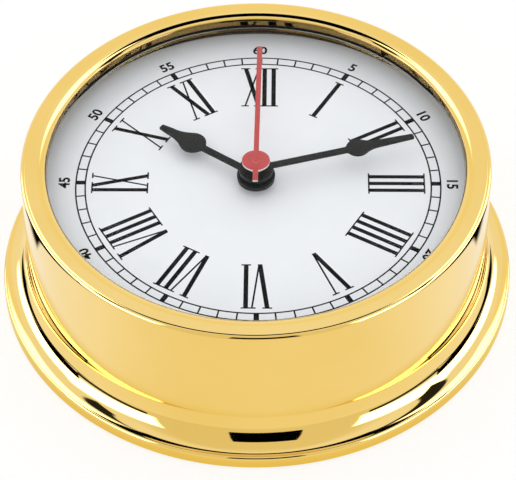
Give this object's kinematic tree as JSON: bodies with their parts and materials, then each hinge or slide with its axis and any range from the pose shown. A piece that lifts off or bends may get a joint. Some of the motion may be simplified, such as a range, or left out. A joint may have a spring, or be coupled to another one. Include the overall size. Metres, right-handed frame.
{
  "type": "ship's clock",
  "caption": "Round brass ship's clock with a coved foot, white dial, pear hands and sweep second hand, run by a geared quartz movement and held on a hidden wall plate by spring clips.",
  "frame": {"origin": "centre of the mounting plate's back face, on the hands' axis", "axes": "+Z out of the dial, +Y to twelve o'clock, +X to three o'clock; the clock lies on its back"},
  "size_m": [0.15, 0.15, 0.0486],
  "materials": {
    "polished_brass": "polished",
    "clear_glass": "polished",
    "black_rubber": "matte",
    "black_plastic": "satin",
    "white_dial": "satin",
    "bright_steel": "satin",
    "black_hands": "satin",
    "red_hand": "satin",
    "white_plastic": "satin",
    "motor_iron": "satin",
    "coil_copper": "satin",
    "magnet_grey": "satin",
    "board_green": "satin",
    "chip_black": "gloss",
    "battery_can": "satin"
  },
  "bodies": {
    "mount": {"mount_plate": "polished_brass", "base_seal": "black_rubber", "spring_clip_1": "bright_steel", "spring_clip_2": "bright_steel", "spring_clip_3": "bright_steel", "clip_screw_1": "bright_steel", "clip_screw_2": "bright_steel", "clip_screw_3": "bright_steel"},
    "case": {"case_shell": "polished_brass", "glass": "clear_glass", "glass_gasket": "black_rubber", "spacer_ring": "black_plastic", "dial": "white_dial", "snap_ring": "bright_steel", "dial_washer": "black_rubber", "movement_front": "black_plastic", "gear_plate": "white_plastic", "movement_rear": "black_plastic", "circuit_board": "board_green", "clock_chip": "chip_black", "quartz_crystal": "bright_steel", "coil": "coil_copper", "coil_core": "motor_iron", "stator": "motor_iron", "battery_contact_plus": "bright_steel", "battery_contact_minus": "bright_steel"},
    "battery_cell": {"battery": "battery_can"},
    "seconds": {"second_wheel": "white_plastic", "second_hand": "red_hand", "second_hand_pipe": "polished_brass"},
    "minutes": {"center_wheel": "white_plastic", "minute_hand": "black_hands", "minute_hand_bush": "black_hands"},
    "hours": {"hour_wheel": "white_plastic", "hour_hand": "black_hands", "hour_hand_bush": "black_hands"},
    "third": {"third_wheel": "white_plastic"},
    "intermediate": {"intermediate_wheel": "white_plastic"},
    "rotor": {"rotor_pinion": "white_plastic", "rotor_magnet": "magnet_grey"},
    "minute_work": {"minute_work_wheel": "white_plastic"},
    "setting": {"setting_gear": "white_plastic", "setting_knob": "white_plastic"}
  },
  "joints": [
    {"name": "case_lift", "type": "slide", "parent": "mount", "child": "case", "axis": [0, 0, 1], "range_m": [0, 0.06]},
    {"name": "battery_out", "type": "slide", "parent": "case", "child": "battery_cell", "axis": [0, 0, -1], "range_m": [0, 0.0155]},
    {"name": "second_turn", "type": "hinge", "parent": "case", "child": "seconds", "pos_m": [0, 0, 0.0447], "axis": [0, 0, -1], "continuous": true},
    {"name": "minute_turn", "type": "hinge", "parent": "case", "child": "minutes", "pos_m": [0, 0, 0.042], "axis": [0, 0, -1], "continuous": true},
    {"name": "hour_turn", "type": "hinge", "parent": "case", "child": "hours", "pos_m": [0, 0, 0.0398], "axis": [0, 0, -1], "continuous": true},
    {"name": "third_turn", "type": "hinge", "parent": "case", "child": "third", "pos_m": [-0.00998, 0.00576, 0.0236], "axis": [0, 0, -1], "continuous": true},
    {"name": "intermediate_turn", "type": "hinge", "parent": "case", "child": "intermediate", "pos_m": [0.0097, 0.0056, 0.0209], "axis": [0, 0, -1], "continuous": true},
    {"name": "rotor_turn", "type": "hinge", "parent": "case", "child": "rotor", "pos_m": [0.01249, 0.01603, 0.0235], "axis": [0, 0, -1], "continuous": true},
    {"name": "minute_work_turn", "type": "hinge", "parent": "case", "child": "minute_work", "pos_m": [0, 0.009, 0.0289], "axis": [0, 0, -1], "continuous": true},
    {"name": "setting_turn", "type": "hinge", "parent": "case", "child": "setting", "pos_m": [-0.00506, 0.01777, 0.0165], "axis": [0, 0, -1], "continuous": true}
  ],
  "couplings": [
    {"joint": "minute_turn", "follows": "second_turn", "ratio": 0.016667},
    {"joint": "hour_turn", "follows": "second_turn", "ratio": 0.0013889},
    {"joint": "third_turn", "follows": "second_turn", "ratio": -0.13333},
    {"joint": "intermediate_turn", "follows": "second_turn", "ratio": -6},
    {"joint": "rotor_turn", "follows": "second_turn", "ratio": 30},
    {"joint": "minute_work_turn", "follows": "second_turn", "ratio": -0.0055556},
    {"joint": "setting_turn", "follows": "second_turn", "ratio": 0.011111}
  ]
}
